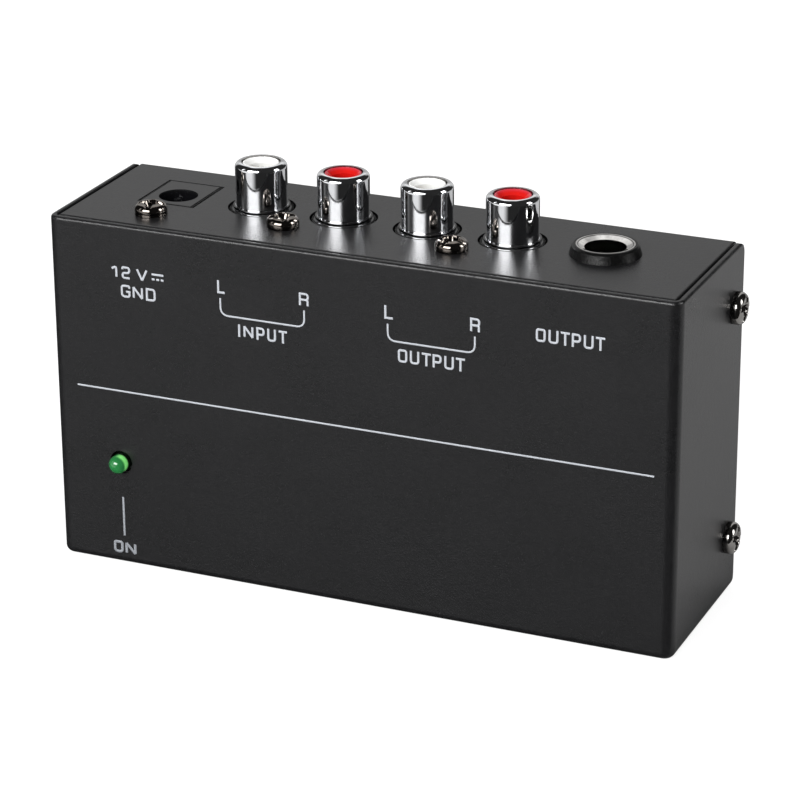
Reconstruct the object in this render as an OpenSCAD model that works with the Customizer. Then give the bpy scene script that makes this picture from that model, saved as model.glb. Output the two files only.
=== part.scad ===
// Small phono preamplifier in a folded steel case, standing on its narrow underside.
// The origin is the centre of the underside, with +X to the right along the legend face,
// +Y to the back and +Z up through the jack panel.

/* [Case] */
// Width of the case
case_w = 105; // [102:0.5:125]
// Depth of the case, from the legend face to the back plate
case_d = 30.2; // [30:0.1:40]
// Height of the case, without the jacks
case_h = 58.2; // [57.5:0.1:75]
// Thickness of the sheet steel
sheet_t = 1; // [0.8:0.1:1.2]
// Outer radius of the upright bends at the front corners
bend_r = 1.8; // [1.6:0.1:4]
// Outer radius of the tight folds: underside, back plate and flanges
fold_r = 1.2; // [1.2:0.1:1.5]
// Rounding of the cover's top edge, on its outer side
edge_r = 0.6; // [0.2:0.05:0.6]
// Rounded corners of the side walls at the back
corner_r = 2; // [1:0.5:4]
// Gap all round the jack panel
panel_gap = 0.3; // [0.2:0.05:0.5]
// How far the jack panel lies below the edges of the walls
panel_drop = 0.05; // [0:0.01:0.3]

/* [Chassis] */
// Depth of the flanges that the side screws hold
flange_d = 7; // [6:0.5:9]
// Height at which the side flanges start
flange_z = 5; // [4:0.5:6]
// Rounding of the jack panel's cut edges
panel_edge_r = 0.45; // [0.2:0.05:0.5]
// Depth of the lip along the bottom of the back plate
lip_d = 5; // [3:0.5:8]

/* [Screws] */
// Radius of a pan head
head_r = 2.6; // [2.4:0.1:2.8]
// Height of a pan head
head_h = 1.75; // [1.5:0.05:2]
// Rounding of a pan head's shoulder
head_round = 0.85; // [0.6:0.05:0.95]
// Radius of the cross recess
recess_r = 1.75; // [1.5:0.05:1.9]
// Width of its arms
recess_w = 0.85; // [0.7:0.05:1]
// Depth of the recess
recess_d = 1.15; // [0.9:0.05:1.2]
// Radius of the thread
thread_r = 1.3; // [1.2:0.05:1.4]
// Length under the head
screw_l = 5; // [4:0.5:6]
// Distance of the side screws from the back edge
side_screw_inset = 3.75; // [3.6:0.05:4.5]
// Height of the lower side screws
side_screw_low = 9.9; // [9:0.1:12]
// Distance of the upper side screws below the top edge
side_screw_high = 9.7; // [9.5:0.1:12]

/* [Board] */
// Thickness of the circuit board
board_t = 1.6; // [1:0.2:2]
// Height of the standoffs between the back plate and the board
standoff_h = 4.45; // [3.5:0.05:5]
// Radius of a standoff
standoff_r = 2.5; // [2.2:0.1:3]
// Gap between the board and the side flanges
board_side_gap = 3.2; // [3:0.1:4]
// Gap between the board and the jack panel
board_top_gap = 1.5; // [1:0.1:3]
// Gap between the board and the underside
board_floor_gap = 7; // [5:0.5:8]
// Distance of the standoffs from the middle
standoff_x = 36; // [35:0.5:37]
// Height of the standoffs above the base
standoff_z = 14; // [13:0.25:15]

/* [Phono jacks] */
// Distance between neighbouring jacks
rca_pitch = 14.2; // [14:0.1:14.4]
// Place of the first jack along the panel
rca_x = -23.1; // [-23.6:0.1:-22.8]
// Height of the jack axes above the board
rca_axis_h = 6.25; // [6:0.05:6.6]
// Radius of a barrel
barrel_r = 4.15; // [4:0.05:4.2]
// Wall of a barrel
barrel_wall = 1.05; // [0.95:0.05:1.1]
// Height of a barrel above the panel
barrel_h = 7.5; // [7:0.1:8.5]
// Rounding of a barrel's rim
barrel_round = 0.8; // [0.4:0.1:0.9]
// Radius of the plastic collar round a barrel's foot
collar_r = 5.05; // [4.9:0.05:5.1]
// Radial gap between that collar and the hole in the panel
collar_gap = 0.35; // [0.2:0.05:0.5]
// How far the coloured insert lies below the rim
insert_drop = 0.12; // [0.05:0.01:0.5]
// Gap between the barrel's rim and the insert
insert_gap = 0.14; // [0.1:0.01:0.2]
// Radius of the hole in the insert
insert_hole_r = 1.9; // [1.8:0.05:2]
// Inner radius of the centre contact
contact_r = 1.65; // [1.62:0.01:1.7]
// Wall of the centre contact
contact_wall = 0.5; // [0.3:0.05:0.55]
// Distance of the fixing screw in front of the jack axes
rca_screw_offset = 7.35; // [7.2:0.05:8]
// Height of a jack block below the panel
rca_block_h = 11.5; // [10:0.5:12]

/* [Phone jack] */
// Place of the phone jack along the panel
phone_x = 34.75; // [34.5:0.05:35.5]
// Height of its axis above the board
phone_axis_h = 6.6; // [6.4:0.05:6.8]
// Radius of its bore
phone_bore_r = 3.25; // [3.22:0.01:3.3]
// Radius of its threaded bushing
bushing_r = 4.6; // [4.5:0.05:4.7]
// Radius of the nut at the panel
nut_r = 5.6; // [5.4:0.05:6]
// Radius of the nut at its face
nut_face_r = 5.2; // [5.1:0.05:5.3]
// Height of the nut
nut_h = 1.6; // [1.4:0.05:2]
// Bevel round the nut's face
nut_bevel = 0.3; // [0.1:0.05:0.4]
// Length of the jack's body below the panel
phone_l = 29; // [28:0.1:29.1]

/* [Power inlet] */
// Place of the inlet along the panel
dc_x = -37.77; // [-38.2:0.01:-37.6]
// Width of the inlet's body
dc_w = 9.5; // [9:0.1:9.6]
// Depth of the inlet's body off the board
dc_d = 10.95; // [10.9:0.05:11.2]
// Length of the inlet's body
dc_l = 14.4; // [14.2:0.1:14.6]
// Height of its axis above the board
dc_axis_h = 6.45; // [6.4:0.01:6.5]
// Radius of its round opening
dc_bore_r = 3.15; // [3.1:0.05:3.2]
// Radius of the centre pin
dc_pin_r = 1; // [0.9:0.05:1.25]
// How far the pin ends below the face
dc_pin_drop = 2; // [1:0.25:3]
// Distance of the ground screw in front of the inlet's axis
ground_offset = 9.5; // [9:0.1:10]
// Thickness of the captive washer under the ground screw
washer_t = 0.4; // [0.3:0.05:0.5]

/* [Lamp] */
// Place of the lamp across the legend face
led_x = -41; // [-41.5:0.25:-40.5]
// Height of the lamp
led_z = 17.9; // [17.7:0.1:18.2]
// Radius of the lamp
led_r = 1.5; // [1.4:0.05:1.55]
// Radial gap between the lamp and its hole
led_gap = 0.45; // [0.2:0.05:0.5]
// How far the round end starts beyond the legend face
led_proud = 1; // [0:0.1:1.5]

/* [Feet] */
// Radius of a stick-on rubber foot
foot_r = 4; // [3:0.5:4]
// Thickness of a foot
foot_t = 1.5; // [1:0.25:3]
// Distance of the feet from the middle
foot_x = 44; // [43:0.5:46]
// Distance of the feet from the bottom and top edges
foot_inset = 8; // [6:0.5:8]

/* [Hidden] */
$fn = 64;
// running gap between turning or sliding faces, and slack of a screw in a plain hole
run_gap = 0.05;
hole_slack = 0.2;
// small overlap that keeps a cut clear of a face
cut = 1;

back_y = case_d / 2;
front_y = -case_d / 2;
plate_y = back_y - sheet_t;
panel_z = case_h - panel_drop;
under_z = panel_z - sheet_t;
panel_front = front_y + sheet_t + panel_gap;
chassis_w = case_w - 2 * sheet_t - 2 * panel_gap;
chassis_z = sheet_t + panel_gap;
flange_top = case_h - side_screw_high + 4;
side_screw_y = back_y - side_screw_inset;
side_screw_zs = [side_screw_low, case_h - side_screw_high];
standoff_hole_r = standoff_r - 0.4;
// rounding of the cover's top edge on its inner side
edge_in_r = min(0.4, sheet_t - edge_r - 0.05);

board_y = plate_y - standoff_h - board_t;
board_back = board_y + board_t;
board_w = chassis_w - 2 * sheet_t - 2 * board_side_gap;
board_z = sheet_t + board_floor_gap;
board_top = under_z - board_top_gap;

// wire leads and flat solder tails, and the holes they pass through
lead_r = 0.3;
lead_hole_r = 0.45;
tail_w = 1;
tail_t = 0.4;
tail_hole_r = 0.65;
tail_end = board_back + 1.4;

rca_xs = [for (i = [0:3]) rca_x + i * rca_pitch];
rca_y = board_y - rca_axis_h;
rca_mids = [(rca_xs[0] + rca_xs[1]) / 2, (rca_xs[2] + rca_xs[3]) / 2];
rca_screw_y = rca_y - rca_screw_offset;
rca_block_side = 6.2;
rca_block_w = rca_pitch + 2 * rca_block_side;
rca_block_front = rca_screw_y - head_r - 0.4;
collar_h = 0.85;
barrel_foot_r = barrel_r + 0.35;
barrel_foot_h = 1.5;
barrel_top = panel_z + barrel_h;
barrel_in_r = barrel_r - barrel_wall;
insert_top = barrel_top - insert_drop;
insert_lip = 2.43;
insert_dish = 0.75;
contact_out_r = contact_r + contact_wall;
contact_floor = 0.4;
rca_tail_z = panel_z - 8;
ground_tail_x = 3.6;

phone_y = board_y - phone_axis_h;
phone_w = 15.5;
phone_d = 14.15;
phone_z = under_z - phone_l;
phone_slot_w = 4.6;
phone_pocket_x = 6.9;
ferrule_wall = 0.45;
ferrule_top = panel_z + nut_h;
ferrule_rim_t = 0.4;
ferrule_l = 9;
// leaf springs of the jacks: width, thickness and how far one stands off the bore's axis
leaf_w = 4;
leaf_t = 0.35;
leaf_x = 5.05;
leaf_gap = 0.3;
tip_root_z = phone_z + 19.5;
ring_root_z = phone_z + 1.9;
tip_bump = [2.4, phone_z + 4.5];
ring_bump = [2.9, phone_z + 15.5];

dc_y = board_y - dc_axis_h;
dc_z = panel_z - dc_l;
dc_floor = 4.4;
dc_gap = 0.22;
dc_shoulder_r = dc_pin_r + 0.3;
dc_bar_w = 0.8;
dc_bar_x = dc_shoulder_r + 0.3 + dc_bar_w;
dc_leaf_w = 2.6;
dc_leaf_y = 3.75;
dc_root_z = dc_z + 2.6;
dc_bump = [2.65, dc_z + 9];
ground_y = dc_y - ground_offset;
ground_head_h = head_h - washer_t;
ground_nut_r = 3;
ground_nut_h = 2;

led_tip = front_y - led_proud;
led_body_l = 2.8;
led_flange_y = led_tip + led_body_l;
led_flange_r = 1.9;
led_flange_t = 1;
led_legs = [-1.27, 1.27];
led_spacer_r = 2.4;

// parts on the board: rows are measured down from the jack panel
film_row = panel_z - 17.5;
chip_row = panel_z - 25;
can_row = panel_z - 34;
resistor_row = panel_z - 43.5;
film_size = [7.2, 6.5, 2.5];
films = [[-27, film_row], [-17, film_row], [-7, film_row], [3, film_row], [13, film_row], [-4, chip_row]];
film_pitch = 5;
chips = [[-16, chip_row], [8, chip_row]];
chip_size = [9.4, 3.3, 6.4];
chip_lift = 0.5;
chip_pitch = 2.54;
chip_span = 7.62;
// cans: x, height, radius, length
cans = [
    [-38.5, chip_row, 4, 12.5], [-27, chip_row, 3.15, 11], [22, chip_row - 1, 3.15, 11],
    [-24, can_row, 2.5, 11], [-17, can_row, 2.5, 11], [-2, can_row, 2.5, 11],
    [5, can_row, 2.5, 11], [20, can_row, 2.5, 11]
];
can_lift = 0.3;
can_pitch = 2.5;
can_sleeve = 0.25;
can_groove = 0.35;
resistor_xs = [for (i = [0:9]) -25 + i * 5.5];
resistor_span = 9;
resistor_l = 6.2;
resistor_r = 1.15;
resistor_lift = 1.4;
diode_at = [-30.5, panel_z - 30];
diode_l = 4.4;
diode_span = 7.6;
regulator_at = [-30.5, panel_z - 35.5];
regulator_r = 2.3;
regulator_lift = 2;
regulator_h = 4.6;
regulator_pitch = 1.85;

can_leads = [for (c = cans) for (s = [-1, 1]) [c[0] + s * can_pitch / 2, c[1]]];
film_leads = [for (f = films) for (s = [-1, 1]) [f[0] + s * film_pitch / 2, f[1]]];
resistor_leads = [for (x = resistor_xs) for (s = [-1, 1]) [x, resistor_row + s * resistor_span / 2]];
diode_leads = [for (s = [-1, 1]) diode_at + [s * diode_span / 2, 0]];
regulator_leads = [for (s = [-1, 0, 1]) regulator_at + [s * regulator_pitch, 0]];
chip_leads = [for (c = chips) for (i = [-1.5:1:1.5]) for (s = [-1, 1])
    [c[0] + i * chip_pitch, c[1] + s * chip_span / 2]];
led_leads = [for (x = led_legs) [led_x + x, led_z]];
wire_leads = concat(can_leads, film_leads, resistor_leads, diode_leads, regulator_leads);
round_joints = concat(wire_leads, chip_leads, led_leads);
rca_tails = [for (x = rca_xs) for (dx = [0, ground_tail_x]) [x + dx, rca_tail_z]];
phone_tails = [[phone_x - leaf_x, tip_root_z + leaf_gap + 0.5], [phone_x + leaf_x, ring_root_z - leaf_gap - 0.5]];
dc_tails = [[dc_x, dc_z - 0.4], [dc_x, dc_root_z - leaf_gap - tail_t / 2]];
tail_joints = concat(rca_tails, phone_tails, dc_tails);

// ---------- shared shapes ----------

// the sliver between a square corner at the origin and a round of radius r inside it
module corner_waste(r) {
    difference() {
        translate([-cut, -cut]) square(r + cut);
        translate([r, r]) circle(r);
    }
}

// half of an upright section: right-hand edge at w, rounded at the bottom and the top;
// with lip_r it is the hollow of a shell whose rim at height h is rounded on the inside
module rounded_half(w, h, low_r, top_r, lip_r = 0) {
    difference() {
        square([w, lip_r > 0 ? h + cut : h]);
        if (low_r > 0) translate([w, 0]) mirror([1, 0]) corner_waste(low_r);
        if (top_r > 0) translate([w, h]) rotate(180) corner_waste(top_r);
    }
    if (lip_r > 0) intersection() {
        translate([w, h]) mirror([0, 1]) corner_waste(lip_r);
        translate([w / 2, h - lip_r]) square([w / 2 + lip_r, lip_r + cut]);
    }
}

// a block with round front corners and round lower and upper edges, open-ended at the back
module case_block(w, d, h, side_r, low_r, top_r, lip_r = 0) {
    for (s = [-1, 1]) {
        translate([s * (w / 2 - side_r), -d / 2 + side_r, 0])
            rotate_extrude() rounded_half(side_r, h, low_r, top_r, lip_r);
        translate([0, -d / 2 + side_r, 0]) mirror([s < 0 ? 1 : 0, 0, 0])
            translate([0, d - side_r, 0]) rotate([90, 0, 0])
                linear_extrude(d - side_r) rounded_half(w / 2, h, low_r, top_r, lip_r);
    }
    translate([w / 2 - side_r, 0, 0]) rotate([0, 0, 180]) rotate([90, 0, 90])
        linear_extrude(w - 2 * side_r) rounded_half(d / 2, h, low_r, top_r, lip_r);
}

// a rod along Y from y0 to y1
module rod_y(x, y0, y1, z, r) {
    translate([x, y0, z]) rotate([-90, 0, 0]) cylinder(r = r, h = y1 - y0);
}

// a box given by its two corners
module box(low, high) {
    translate(low) cube(high - low);
}

// pan-head screw: its seat is at the origin and its head points along +Z
module pan_screw(h, l) {
    difference() {
        union() {
            rotate_extrude() rounded_half(head_r, h, 0, head_round);
            translate([0, 0, -l]) cylinder(r = thread_r, h = l + 0.1);
        }
        intersection() {
            translate([0, 0, h - recess_d]) cylinder(r1 = 0.45, r2 = recess_r + 0.1, h = recess_d + 0.07);
            for (a = [0, 90]) rotate(a)
                translate([-head_r, -recess_w / 2, 0]) cube([2 * head_r, recess_w, h + cut]);
        }
    }
}

// ---------- case ----------

module front_cover() {
    color([0.14, 0.14, 0.145]) difference() {
        case_block(case_w, case_d, case_h, bend_r, fold_r, edge_r);
        translate([0, sheet_t, sheet_t])
            case_block(case_w - 2 * sheet_t, case_d, case_h - sheet_t, bend_r - sheet_t, fold_r - sheet_t, 0,
                edge_in_r);
        for (s = [-1, 1]) for (z = side_screw_zs)
            translate([s * (case_w / 2 + cut), side_screw_y, z]) rotate([0, -s * 90, 0])
                cylinder(r = thread_r + hole_slack, h = sheet_t + 2 * cut);
        rod_y(led_x, front_y - cut, front_y + sheet_t + cut, led_z, led_r + led_gap);
        for (s = [-1, 1]) translate([s * (case_w / 2 - 1), 0, 0]) {
            translate([-2, back_y, 0]) rotate([90, 0, 90]) mirror([1, 0])
                linear_extrude(4) corner_waste(corner_r);
            translate([-2, back_y, case_h]) rotate([90, 0, 90]) rotate(180)
                linear_extrude(4) corner_waste(corner_r);
        }
    }
}

// jack panel, back plate and bottom lip in one folded strip, seen from the side
module chassis_section() {
    difference() {
        translate([panel_front, chassis_z]) square([back_y - panel_front, panel_z - chassis_z]);
        translate([panel_front, panel_z]) mirror([0, 1]) corner_waste(panel_edge_r);
        translate([back_y, panel_z]) rotate(180) corner_waste(fold_r);
        translate([back_y, chassis_z]) mirror([1, 0]) corner_waste(fold_r);
        translate([panel_front - cut, chassis_z + sheet_t])
            square([plate_y - panel_front + cut, under_z - chassis_z - sheet_t]);
        translate([panel_front - cut, chassis_z - cut])
            square([back_y - lip_d - panel_front + cut, sheet_t + 2 * cut]);
    }
}

module chassis() {
    half = chassis_w / 2;
    color([0.2, 0.2, 0.2]) difference() {
        union() {
            translate([-half, 0, 0]) rotate([90, 0, 90]) linear_extrude(chassis_w) chassis_section();
            for (s = [-1, 1]) mirror([s < 0 ? 1 : 0, 0, 0])
                box([half - sheet_t, back_y - flange_d, flange_z], [half, plate_y + sheet_t / 2, flange_top]);
        }
        for (s = [-1, 1]) mirror([s < 0 ? 1 : 0, 0, 0]) {
            translate([half, back_y + cut, panel_z]) rotate([90, 0, 0]) rotate(180)
                linear_extrude(case_d + 2 * cut) corner_waste(panel_edge_r);
            translate([half, back_y, flange_z]) rotate(180)
                linear_extrude(flange_top - flange_z) corner_waste(fold_r);
            for (z = side_screw_zs) translate([half - sheet_t - cut, side_screw_y, z]) rotate([0, 90, 0])
                cylinder(r = thread_r + run_gap, h = sheet_t + 2 * cut);
        }
        for (x = rca_xs) translate([x, rca_y, under_z - cut])
            cylinder(r = collar_r + collar_gap, h = sheet_t + 2 * cut);
        for (x = rca_mids) translate([x, rca_screw_y, under_z - cut])
            cylinder(r = thread_r + hole_slack, h = sheet_t + 2 * cut);
        translate([dc_x, ground_y, under_z - cut])
            cylinder(r = thread_r + hole_slack, h = sheet_t + 2 * cut);
        translate([phone_x, phone_y, under_z - cut])
            cylinder(r = bushing_r + 0.1, h = sheet_t + 2 * cut);
        box([dc_x - dc_w / 2 - dc_gap, board_y - dc_d - dc_gap, under_z - cut],
            [dc_x + dc_w / 2 + dc_gap, board_y + dc_gap, panel_z + cut]);
        for (s = [-1, 1]) rod_y(s * standoff_x, plate_y - cut, back_y + cut, standoff_z, standoff_hole_r);
    }
}

module side_screws() {
    color([0.3, 0.29, 0.28]) for (s = [-1, 1]) for (z = side_screw_zs)
        translate([s * case_w / 2, side_screw_y, z]) rotate([0, s * 90, 0]) rotate(z * 7)
            pan_screw(head_h, screw_l);
}

module rubber_feet() {
    color([0.08, 0.08, 0.08]) for (s = [-1, 1]) for (z = [foot_inset, panel_z - foot_inset])
        translate([s * foot_x, back_y + foot_t, z]) rotate([90, 0, 0]) intersection() {
            cylinder(r = foot_r, h = foot_t);
            cylinder(r1 = foot_r - 0.4, r2 = foot_r - 0.4 + foot_t, h = foot_t);
        }
}

// ---------- board ----------

module circuit_board() {
    color([0.1, 0.32, 0.16]) difference() {
        box([-board_w / 2, board_y, board_z], [board_w / 2, board_back, board_top]);
        for (s = [-1, 1])
            rod_y(s * standoff_x, board_y - cut, board_back + cut, standoff_z, thread_r + hole_slack);
        for (p = round_joints) rod_y(p[0], board_y - cut, board_back + cut, p[1], lead_hole_r);
        for (p = tail_joints) rod_y(p[0], board_y - cut, board_back + cut, p[1], tail_hole_r);
    }
}

module board_standoffs() {
    color([0.75, 0.75, 0.76]) for (s = [-1, 1]) difference() {
        union() {
            rod_y(s * standoff_x, board_back, plate_y, standoff_z, standoff_r);
            rod_y(s * standoff_x, plate_y - 0.1, back_y, standoff_z, standoff_hole_r);
        }
        rod_y(s * standoff_x, board_back - cut, back_y - 0.5, standoff_z, thread_r + run_gap);
    }
}

module board_screws() {
    color([0.3, 0.29, 0.28]) for (s = [-1, 1])
        translate([s * standoff_x, board_y, standoff_z]) rotate([90, 0, 0]) rotate(20 + s * 12)
            pan_screw(head_h, screw_l);
}

module solder_joints() {
    color([0.78, 0.78, 0.8]) {
        for (p = round_joints) solder_cone(p, lead_r, 0.85);
        for (p = tail_joints) solder_cone(p, tail_hole_r, 1.2);
    }
}

// one fillet of solder on the back of the board round a lead at p
module solder_cone(p, hole_r, foot) {
    difference() {
        translate([p[0], board_back, p[1]]) rotate([-90, 0, 0])
            cylinder(r1 = foot, r2 = hole_r + 0.12, h = 0.8);
        rod_y(p[0], board_back - cut, board_back + 1 + cut, p[1], hole_r);
    }
}

// ---------- phono jacks ----------

// the plastic block that carries a pair of jacks, centred on x
module jack_block(x) {
    for (s = [-1, 1]) translate([x + s * rca_pitch / 2, rca_y, under_z - 0.1]) difference() {
        cylinder(r = collar_r, h = collar_h + 0.1);
        translate([0, 0, -cut]) cylinder(r = barrel_foot_r, h = collar_h + 0.1 + 2 * cut);
    }
    difference() {
        box([x - rca_block_w / 2, rca_block_front, under_z - rca_block_h],
            [x + rca_block_w / 2, board_y, under_z]);
        for (s = [-1, 1]) for (dx = [0, ground_tail_x])
            box([x + s * rca_pitch / 2 + dx - tail_w / 2 - 0.15, rca_y - tail_t, rca_tail_z - tail_t],
                [x + s * rca_pitch / 2 + dx + tail_w / 2 + 0.15, board_y + cut, under_z + cut]);
        translate([x, rca_screw_y, under_z - screw_l])
            cylinder(r = thread_r + run_gap, h = screw_l + cut);
        for (s = [-1, 1])
            box([x + s * (rca_block_w / 2 - 1.5) - 2.5, rca_block_front - cut, under_z - rca_block_h - cut],
                [x + s * (rca_block_w / 2 - 1.5) + 2.5, rca_screw_y + 2, under_z + cut]);
    }
}

module jack_block_screws() {
    color([0.3, 0.29, 0.28]) for (i = [0, 1])
        translate([rca_mids[i], rca_screw_y, panel_z]) rotate(35 + 40 * i)
            pan_screw(head_h, screw_l - 0.5);
}

// a flat tail that drops from the panel and turns back through the board
module solder_tail(x, top) {
    box([x - tail_w / 2, rca_y - tail_t / 2, rca_tail_z - tail_t / 2],
        [x + tail_w / 2, rca_y + tail_t / 2, top]);
    box([x - tail_w / 2, rca_y - tail_t / 2, rca_tail_z - tail_t / 2],
        [x + tail_w / 2, tail_end, rca_tail_z + tail_t / 2]);
}

module barrel(x) {
    color([0.8, 0.8, 0.82]) {
        translate([x, rca_y, under_z]) difference() {
            union() {
                rotate_extrude() rounded_half(barrel_r, barrel_top - under_z, 0, barrel_round);
                cylinder(r = barrel_foot_r, h = barrel_foot_h);
            }
            translate([0, 0, -cut]) cylinder(r = barrel_in_r, h = barrel_top - under_z + 2 * cut);
        }
        solder_tail(x + ground_tail_x, under_z + 0.1);
    }
}

module insert(x) {
    translate([x, rca_y, 0]) difference() {
        union() {
            translate([0, 0, under_z]) cylinder(r = barrel_in_r, h = insert_top - insert_dish - under_z);
            translate([0, 0, insert_top - insert_dish - 0.1])
                rotate_extrude() rounded_half(barrel_in_r - insert_gap, insert_dish + 0.1, 0, 0.25);
        }
        translate([0, 0, under_z - cut]) cylinder(r = insert_hole_r, h = insert_top - under_z + 2 * cut);
        translate([0, 0, under_z - cut]) cylinder(r = contact_out_r, h = insert_top - insert_lip - under_z + cut);
        translate([0, 0, insert_top - insert_dish])
            cylinder(r1 = insert_hole_r, r2 = barrel_in_r - insert_gap - 0.3, h = insert_dish + 0.001);
    }
}

module contact(x) {
    color([0.83, 0.68, 0.35]) {
        translate([x, rca_y, 0]) difference() {
            translate([0, 0, under_z]) cylinder(r = contact_out_r, h = insert_top - insert_lip - under_z);
            translate([0, 0, under_z + contact_floor]) cylinder(r = contact_r, h = barrel_h + cut);
        }
        solder_tail(x, under_z + 0.1);
    }
}

// ---------- phone jack ----------

module phone_jack_body() {
    color([0.1, 0.1, 0.1]) difference() {
        union() {
            box([phone_x - phone_w / 2, board_y - phone_d, phone_z], [phone_x + phone_w / 2, board_y, under_z]);
            translate([phone_x, phone_y, under_z - 0.1])
                cylinder(r = bushing_r, h = ferrule_top - ferrule_rim_t - under_z + 0.1);
        }
        translate([phone_x, phone_y, phone_z - cut])
            cylinder(r = phone_bore_r + ferrule_wall, h = phone_l + sheet_t + nut_h + 2 * cut);
        box([phone_x - phone_pocket_x, phone_y - phone_slot_w / 2, phone_z - cut],
            [phone_x, phone_y + phone_slot_w / 2, tip_root_z + leaf_gap + 1.2]);
        box([phone_x, phone_y - phone_slot_w / 2, phone_z - cut],
            [phone_x + phone_pocket_x, phone_y + phone_slot_w / 2, ring_bump[1] + 3]);
        box([phone_x - leaf_x - 0.7, phone_y, tip_root_z + leaf_gap - 0.2],
            [phone_x - leaf_x + 0.7, board_y + cut, tip_root_z + leaf_gap + 1.2]);
        box([phone_x + leaf_x - 0.7, phone_y, phone_z - cut],
            [phone_x + leaf_x + 0.7, board_y + cut, ring_root_z - leaf_gap + 0.2]);
    }
}

module phone_jack_nut() {
    color([0.09, 0.09, 0.09]) translate([phone_x, phone_y, panel_z]) difference() {
        union() {
            cylinder(r1 = nut_r, r2 = nut_face_r, h = nut_h - nut_bevel);
            translate([0, 0, nut_h - nut_bevel])
                cylinder(r1 = nut_face_r, r2 = nut_face_r - nut_bevel, h = nut_bevel);
        }
        translate([0, 0, -cut]) cylinder(r = bushing_r, h = nut_h + 2 * cut);
    }
}

module phone_jack_ferrule() {
    color([0.82, 0.82, 0.83]) translate([phone_x, phone_y, 0]) difference() {
        union() {
            translate([0, 0, ferrule_top - ferrule_rim_t]) cylinder(r = bushing_r - 0.05, h = ferrule_rim_t);
            translate([0, 0, ferrule_top - ferrule_l])
                cylinder(r = phone_bore_r + ferrule_wall, h = ferrule_l - 0.1);
        }
        translate([0, 0, ferrule_top - ferrule_l - cut]) cylinder(r = phone_bore_r, h = ferrule_l + 2 * cut);
        translate([0, 0, ferrule_top - 0.5])
            cylinder(r1 = phone_bore_r, r2 = bushing_r - 0.25, h = 0.5 + 0.001);
    }
}

// the fixed tails at the root of each spring
module phone_jack_terminals() {
    color([0.83, 0.68, 0.35]) for (p = phone_tails)
        box([p[0] - tail_w / 2, phone_y - leaf_w / 2, p[1] - 0.5], [p[0] + tail_w / 2, phone_y + 1, p[1] + 0.5]);
    color([0.83, 0.68, 0.35]) for (p = phone_tails)
        box([p[0] - tail_w / 2, phone_y, p[1] - tail_t / 2], [p[0] + tail_w / 2, tail_end, p[1] + tail_t / 2]);
}

// a leaf drawn in its own plane: u off the axis and v along it, bent in to a rounded bump
module leaf(root_v, far_v, bump_u, bump_v) {
    way = far_v > root_v ? 1 : -1;
    t = leaf_t;
    linear_extrude(leaf_w, center = true) {
        polygon([
            [leaf_x + t / 2, root_v], [leaf_x - t / 2, root_v],
            [leaf_x - t / 2, bump_v - way * 3.2], [bump_u, bump_v - way * 0.4],
            [bump_u, bump_v + way * 0.4], [bump_u + 0.9, far_v],
            [bump_u + 0.9 + t, far_v - way * 0.1], [bump_u + t, bump_v + way * 0.3],
            [bump_u + t, bump_v - way * 0.3], [leaf_x + t / 2, bump_v - way * 3.1]
        ]);
    }
}

module phone_tip_spring() {
    color([0.83, 0.68, 0.35]) translate([phone_x, phone_y, 0]) mirror([1, 0, 0]) rotate([90, 0, 0])
        leaf(tip_root_z, phone_z + 2, tip_bump[0], tip_bump[1]);
}

module phone_ring_spring() {
    color([0.83, 0.68, 0.35]) translate([phone_x, phone_y, 0]) rotate([90, 0, 0])
        leaf(ring_root_z, ring_bump[1] + 2.2, ring_bump[0], ring_bump[1]);
}

// ---------- power inlet and ground screw ----------

module power_inlet_body() {
    slot = dc_leaf_w / 2 + 0.3;
    color([0.11, 0.11, 0.11]) difference() {
        box([dc_x - dc_w / 2, board_y - dc_d, dc_z], [dc_x + dc_w / 2, board_y, panel_z]);
        translate([dc_x, dc_y, dc_z + dc_floor]) cylinder(r = dc_bore_r, h = dc_l);
        translate([dc_x, dc_y, dc_z - cut]) cylinder(r = dc_shoulder_r, h = dc_l);
        box([dc_x - slot, board_y - dc_d - cut, dc_root_z - leaf_gap - 1.2], [dc_x + slot, dc_y - 2, panel_z - 2.2]);
        box([dc_x - dc_bar_x - 0.2, board_y - dc_d - cut, dc_root_z - leaf_gap - 1.2],
            [dc_x - dc_bar_x + dc_bar_w + 0.2, board_y + cut, dc_root_z - leaf_gap + 0.1]);
        box([dc_x - dc_bar_x, dc_y + dc_shoulder_r + 0.3, dc_root_z - leaf_gap - 1.2],
            [dc_x + tail_w / 2 + 0.3, board_y + cut, dc_root_z - leaf_gap + 0.1]);
        box([dc_x - dc_bar_x, board_y - dc_d - cut, dc_root_z - leaf_gap - 1.2],
            [dc_x, dc_y - 2.4, dc_root_z - leaf_gap + 0.1]);
    }
}

module power_inlet_pin() {
    color([0.8, 0.8, 0.8]) {
        translate([dc_x, dc_y, dc_z - 0.6]) cylinder(r = dc_shoulder_r, h = dc_floor + 0.6);
        translate([dc_x, dc_y, dc_z]) cylinder(r = dc_pin_r, h = dc_l - dc_pin_drop - dc_pin_r);
        translate([dc_x, dc_y, panel_z - dc_pin_drop - dc_pin_r]) sphere(dc_pin_r);
        box([dc_x - tail_w / 2, dc_y, dc_z - 0.6], [dc_x + tail_w / 2, tail_end, dc_z - 0.6 + tail_t]);
    }
}

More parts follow.
